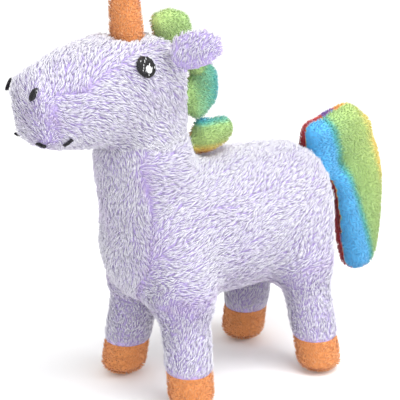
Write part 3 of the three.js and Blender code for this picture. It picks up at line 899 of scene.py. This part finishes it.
# density per square millimetre, length, width and lean of the tufts, and how far they clump
PILES = {
    "lavender": (1.2, 4.2, 0.8, 1.12, 0.42),
    "ear": (1.0, 3.6, 0.8, 1.12, 0.4),
    "tan": (1.1, 2.2, 0.7, 0.85, 0.2),
    "rainbow": (1.5, 2.2, 0.6, 0.85, 0.15),
}


def look_of(node):
    if node.startswith(("hoof", "horn")):
        return "tan"
    if node.startswith(("tail", "mane")):
        return "rainbow"
    return "ear" if node.startswith("ear") else "lavender"


FINISH = {
    "lavender": (lavender_cloth, lavender_pile),
    "ear": (lavender_cloth, lavender_pile),
    "tan": (tan_cloth, tan_pile),
    "rainbow": (rainbow_cloth, rainbow_pile),
}


def inside_others(label, points):
    """Which points lie inside another stuffed form."""
    hidden = np.zeros(len(points), bool)
    for other, form in forms.items():
        if other == label:
            continue
        close = np.all((points > form["low"]) & (points < form["high"]), axis=1) & ~hidden
        for index in np.flatnonzero(close):
            spot = Vector(points[index])
            where, normal, _, _ = form["tree"].find_nearest(spot)
            hidden[index] = (spot - where).dot(normal) < -0.6 * MM
    return hidden


def panel_cloth(label, node, faces):
    """One sewn panel of the form, with the thickness of its knitted backing."""
    form = forms[label]
    bm = bmesh.new()
    bm.from_mesh(form["obj"].data)
    bm.faces.ensure_lookup_table()
    keep = set(faces)
    bmesh.ops.delete(bm, geom=[f for f in bm.faces if f.index not in keep], context="FACES")
    mesh = bpy.data.meshes.new("cloth_" + node)
    bm.to_mesh(mesh)
    bm.free()
    mesh.shade_smooth()
    obj = add("cloth_" + node, mesh)
    backing = obj.modifiers.new("backing", "SOLIDIFY")
    backing.thickness = 0.8 * MM
    backing.offset = -1
    baked_shape(obj)
    look = look_of(node)
    obj.data.materials.clear()
    obj.data.materials.append(FINISH[look][0])
    if look == "rainbow":
        stripe = obj.data.attributes.new("stripe", "FLOAT", "POINT")
        stripe.data.foreach_set("value", stripes_at(label, points_of(obj.data)).astype(np.float32))
    return obj


def tones(label, look, root, up, seam, rng):
    """Each tuft's place in its dye's ramp: a stripe's own place, or tufts lighter and darker at
    random and by painted light.
    """
    count = len(root)
    if look == "rainbow":
        return np.clip(stripes_at(label, root) + rng.normal(0, 0.012, count), 0, 1)
    broad = drifting(root, 45, 3.0)
    fine = drifting(root, 260, 9.0)
    if look == "tan":
        return np.clip(0.5 + 0.3 * fine + rng.normal(0, 0.15, count), 0, 1)
    # painted light and shade: lavender tufts that face up are lighter, and those that face down
    # darker and pinker
    shade = 0.68 + 0.2 * up[:, 2] + 0.22 * broad + 0.25 * fine + rng.normal(0, 0.07, count)
    # painted shade: the tone darkens close to a seam, where the pile parts
    return np.clip(shade - 0.4 * np.exp(-seam / (SEAM_SHADE_REACH * MM)), 0, 1)


def grown(label, node, faces, seed):
    """The pile that stands on one panel."""
    form = forms[label]
    bm = bmesh.new()
    bm.from_mesh(form["obj"].data)
    bm.faces.ensure_lookup_table()
    keep = set(faces)
    stay = bm.verts.layers.int.new("stay")
    for vert in bm.verts:
        vert[stay] = vert.index
    bmesh.ops.delete(bm, geom=[f for f in bm.faces if f.index not in keep], context="FACES")
    ground = bpy.data.meshes.new("ground")
    bm.to_mesh(ground)
    bm.free()
    origin = np.empty(len(ground.vertices), np.int32)
    ground.attributes["stay"].data.foreach_get("value", origin)
    rng = np.random.default_rng(seed)
    look = look_of(node)
    density, length, width, lean, clump = PILES[look]
    own, weights, root, up = scattered(ground, density, rng)
    smooth_up = normals_of(form["obj"].data)[origin]
    up = unit((smooth_up[own] * weights[:, :, None]).sum(1))
    seam = (form["seam"][origin][own] * weights).sum(1)
    keep = ~inside_others(label, root)
    if label == "head":
        keep &= stitches_away(root) > STITCH_BARE * MM
    keep &= seam > SEAM_BARE * MM
    root, up, seam = root[keep], up[keep], seam[keep]
    if not len(root):
        return None
    lie = combed(root, up, mirrored(guides_for(node), node))
    swirl = 0.9 * drifting(root, 60, 17.0) + 0.5 * drifting(root, 190, 5.0)
    lie = unit(lie + np.cross(up, lie) * swirl[:, None])
    parted = 1 - 0.45 * np.exp(-seam / (SEAM_SHORT * MM))
    leaning = lean + rng.normal(0, 0.13, len(root)) - 0.25 * drifting(root, 220, 31.0)
    tone = tones(label, look, root, up, seam, rng)
    bright = 0.95 + 0.3 * drifting(root, 240, 41.0) + rng.normal(0, 0.07, len(root))
    bright = np.clip(bright, 0.5, 1)
    mesh = pile_mesh(
        "pile_" + node, root, up, lie, tone, bright, length * parted, width, leaning, clump, rng
    )
    bpy.data.meshes.remove(ground)
    mesh.materials.append(FINISH[look][1])
    return add("pile_" + node, mesh)


print("panels")
seed = SEED
for label, form in forms.items():
    for index, node in enumerate(form["panels"]):
        faces = np.flatnonzero(form["panel"] == index)
        if not len(faces):
            raise ValueError(f"{node} has no cloth")
        seed += 1
        cloth = panel_cloth(label, node, faces)
        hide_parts(node)
        pile = grown(label, node, faces, seed)
        for piece in (cloth, pile):
            if piece is not None:
                settle(piece, node)

# ------------------------------------------------------------------ stuffing

print("stuffing")


def lumpy(node):
    """Fibre stuffing: lumps where handfuls of fibre were pushed in."""
    large = node in ("torso_stuffing", "head_stuffing")
    obj = joined_form("fill_" + node, [node], (), voxel=4.0 if large else 2.6, smooth=2)
    co, normal = points_of(obj.data), normals_of(obj.data)
    lump = 0.5 + 0.5 * drifting(co, 110, 2.0)
    depth = 2.3 if node.startswith(("torso", "leg")) else 0.9
    place_points(obj.data, co - normal * ((depth + lump) * MM)[:, None])
    rounded(obj)
    obj.data.shade_smooth()
    obj.data.materials.clear()
    obj.data.materials.append(fibre)
    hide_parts(node)
    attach(obj, body_of_node(node))


for node in sorted(n for n in nodes if "stuffing" in n):
    lumpy(node)

# ------------------------------------------------------------------ embroidery

print("embroidery")


def thread_curve(name, thick):
    curve = bpy.data.curves.new(name, "CURVE")
    curve.dimensions = "3D"
    curve.bevel_depth = thick * MM / 2
    curve.bevel_resolution = 1
    curve.use_fill_caps = True
    return curve


def thread_shape(curve):
    """The curve's threads as a mesh."""
    threads = add("threads", curve)
    bpy.context.view_layer.update()
    graph = bpy.context.evaluated_depsgraph_get()
    shape = bpy.data.meshes.new_from_object(threads.evaluated_get(graph), depsgraph=graph)
    bpy.data.objects.remove(threads)
    return shape


def stitched(name, node, finish, stitch, gap, rise, direction, ragged, seed):
    """A patch of close satin stitches that covers the patch's own padding."""
    rng = np.random.default_rng(seed)
    low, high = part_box(node)
    middle = (low + high) / 2
    across = Vector(direction[0]).normalized()
    along = Vector(direction[1]).normalized()
    out = Vector(direction[2]).normalized()
    reach = (high - low).length / 2
    tree = node_tree(node)
    lines = []
    count = int(2 * reach / (gap * MM))
    for k in range(count):
        offset = (k + 0.5) / count * 2 * reach - reach
        run = []
        for j in range(41):
            step = (j / 40 * 2 - 1) * reach
            start = middle + across * offset + along * step + out * 30 * MM
            hit = tree.ray_cast(start, -out)
            if hit[0] is not None and (hit[0] - middle).dot(out) > -4 * MM:
                run.append(hit[0])
        if len(run) > 2:
            first, last = rng.uniform(-ragged, ragged, 2) * MM
            direction_in = (run[-1] - run[0]).normalized()
            run[0] = run[0] - direction_in * first
            run[-1] = run[-1] + direction_in * last
            lines.append([run[0], *run[2:-2:4], run[-1]])
    curve = thread_curve(name, stitch)
    for line in lines:
        spline = curve.splines.new("POLY")
        spline.points.add(len(line) - 1)
        shift = across * float(rng.normal(0, 0.07)) * MM
        for number, (point, place) in enumerate(zip(spline.points, line)):
            t = number / (len(line) - 1)
            lift = rise * MM * (1 - (2 * t - 1) ** 2) - 0.1 * MM
            point.co = (*(place + out * lift + shift), 1)
    shape = thread_shape(curve)
    bm = bmesh.new()
    bm.from_mesh(shape)
    bm.from_mesh(nodes[node].data)
    bmesh.ops.remove_doubles(bm, verts=bm.verts, dist=MERGE)
    mesh = bpy.data.meshes.new(name)
    bm.to_mesh(mesh)
    bm.free()
    bpy.data.meshes.remove(shape)
    mesh.materials.append(finish)
    obj = add(name, mesh)
    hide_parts(node)
    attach(obj, body_of_node(node))


# how many short white threads an eye has beside its glint, as painted reflections on its black
# satin
PAINTED_REFLECTION_COUNT = 14


def painted_reflections(side, sign):
    """Short white threads scattered through the black of an eye, as painted reflections of light on
    the satin.
    """
    node = "eye_black_" + side
    rng = np.random.default_rng(521)
    low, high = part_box(node)
    middle, half = (low + high) / 2, (high - low) / 2
    tree = node_tree(node)
    curve = thread_curve("painted_reflection_" + side, 0.26)
    for turn in np.arange(PAINTED_REFLECTION_COUNT) * 2 * np.pi / PAINTED_REFLECTION_COUNT:
        reach = rng.uniform(0.35, 0.92)
        angle = turn + rng.uniform(-0.25, 0.25)
        start = Vector((0, np.cos(angle) * half.y * reach, np.sin(angle) * half.z * reach))
        lie = Vector((0, 0.3, 1)).normalized() * float(rng.uniform(0.3, 0.75)) * MM
        spline = curve.splines.new("POLY")
        spline.points.add(2)
        for point, share in zip(spline.points, (-1, 0, 1)):
            above = middle + start + lie * share + Vector((sign * 30 * MM, 0, 0))
            where = tree.ray_cast(above, Vector((-sign, 0, 0)))[0] or middle + start
            point.co = (*(where + Vector((sign, 0, 0)) * (0.62 - 0.12 * abs(share)) * MM), 1)
    shape = thread_shape(curve)
    shape.materials.append(white_thread)
    obj = add("painted_reflection_" + side, shape)
    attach(obj, body_of_node(node))


# each patch: what its node's name starts with, the thread, its thickness, the space between rows,
# how far the rows rise and stray, the seed, and the ways across the rows, along them and out
PATCHES = {
    "eye": ("eye_black", "black", 0.5, 0.42, 0.5, 0.25, 501),
    "glint": ("eye_glint", "white", 0.5, 0.4, 0.5, 0.1, 503),
    "nostril": ("nostril", "black", 0.55, 0.5, 0.4, 0.4, 507),
    "mouth_front": ("mouth_front", "black", 0.55, 0.5, 0.4, 0.3, 511),
    "mouth_corner": ("mouth_corner", "black", 0.55, 0.5, 0.4, 0.3, 513),
}
THREADS = {"black": black_thread, "white": white_thread}

for side, sign in (("left", 1), ("right", -1)):
    painted_reflections(side, sign)
    eye_way = ((0, 1, 0.2), (0, -0.2, 1), (sign, -0.15, 0.1))
    ways = {
        "eye": eye_way,
        "glint": eye_way,
        "nostril": ((1, 0, 0), (0, 0, 1), (0.2 * sign, -1, 0.2)),
        "mouth_front": ((0, 0, 1), (1, 0, 0), (0.2 * sign, -1, -0.1)),
        "mouth_corner": ((0, 0, 1), (0, 1, 0), (sign, -0.2, -0.2)),
    }
    for patch, (start, thread, thick, gap, rise, ragged, own_seed) in PATCHES.items():
        stitched(
            f"{patch}_{side}",
            f"{start}_{side}",
            THREADS[thread],
            thick,
            gap,
            rise,
            ways[patch],
            ragged,
            own_seed,
        )

for form in forms.values():
    bpy.data.objects.remove(form["obj"])

# ------------------------------------------------------------------ floor, light and camera

floor_mesh = bpy.data.meshes.new("floor")
bm = bmesh.new()
bmesh.ops.create_grid(bm, x_segments=1, y_segments=1, size=4)
bm.to_mesh(floor_mesh)
bm.free()
floor = add("floor", floor_mesh)
floor_finish, _, floor_shader = soft_finish("floor_finish", 0.9, 0)
floor_shader.inputs["Base Color"].default_value = (0.9, 0.9, 0.9, 1)
floor_mesh.materials.append(floor_finish)


def soft_light(name, place, size, power, aim):
    data = bpy.data.lights.new(name, "AREA")
    data.shape = "DISK"
    data.size = size
    data.energy = power
    light = bpy.data.objects.new(name, data)
    bpy.context.scene.collection.objects.link(light)
    light.location = place
    light.rotation_euler = (Vector(aim) - Vector(place)).to_track_quat("-Z", "Y").to_euler()


soft_light("top_light", (0.5, 0.1, 1.3), 0.9, 13, (0, 0, 0.1))
soft_light("side_light", (1.0, 0.7, 0.7), 0.8, 7, (0, 0, 0.1))
soft_light("front_light", (0.6, -1.0, 0.5), 0.9, 3, (0, 0, 0.1))

world = bpy.data.worlds.new("studio")
world.use_nodes = True
world.node_tree.nodes["Background"].inputs["Color"].default_value = (1, 1, 1, 1)
world.node_tree.nodes["Background"].inputs["Strength"].default_value = 1.0
bpy.context.scene.world = world
bpy.context.scene.view_settings.view_transform = "Standard"

BACK = Vector((0.7640, -0.5551, 0.3289))
RIGHT = Vector((0.5878, 0.8090, 0.0))
AIM = Vector((-30.9, 9.4, 87.7)) * MM
AWAY = 0.8
camera_data = bpy.data.cameras.new("camera")
camera_data.lens = 132.1
camera_data.sensor_width = 36
camera_data.clip_start = 0.05
camera = bpy.data.objects.new("camera", camera_data)
bpy.context.scene.collection.objects.link(camera)
turn = Matrix((RIGHT, BACK.cross(RIGHT), BACK)).transposed()
camera.matrix_world = Matrix.Translation(AIM + BACK * AWAY) @ turn.to_4x4()
bpy.context.scene.camera = camera
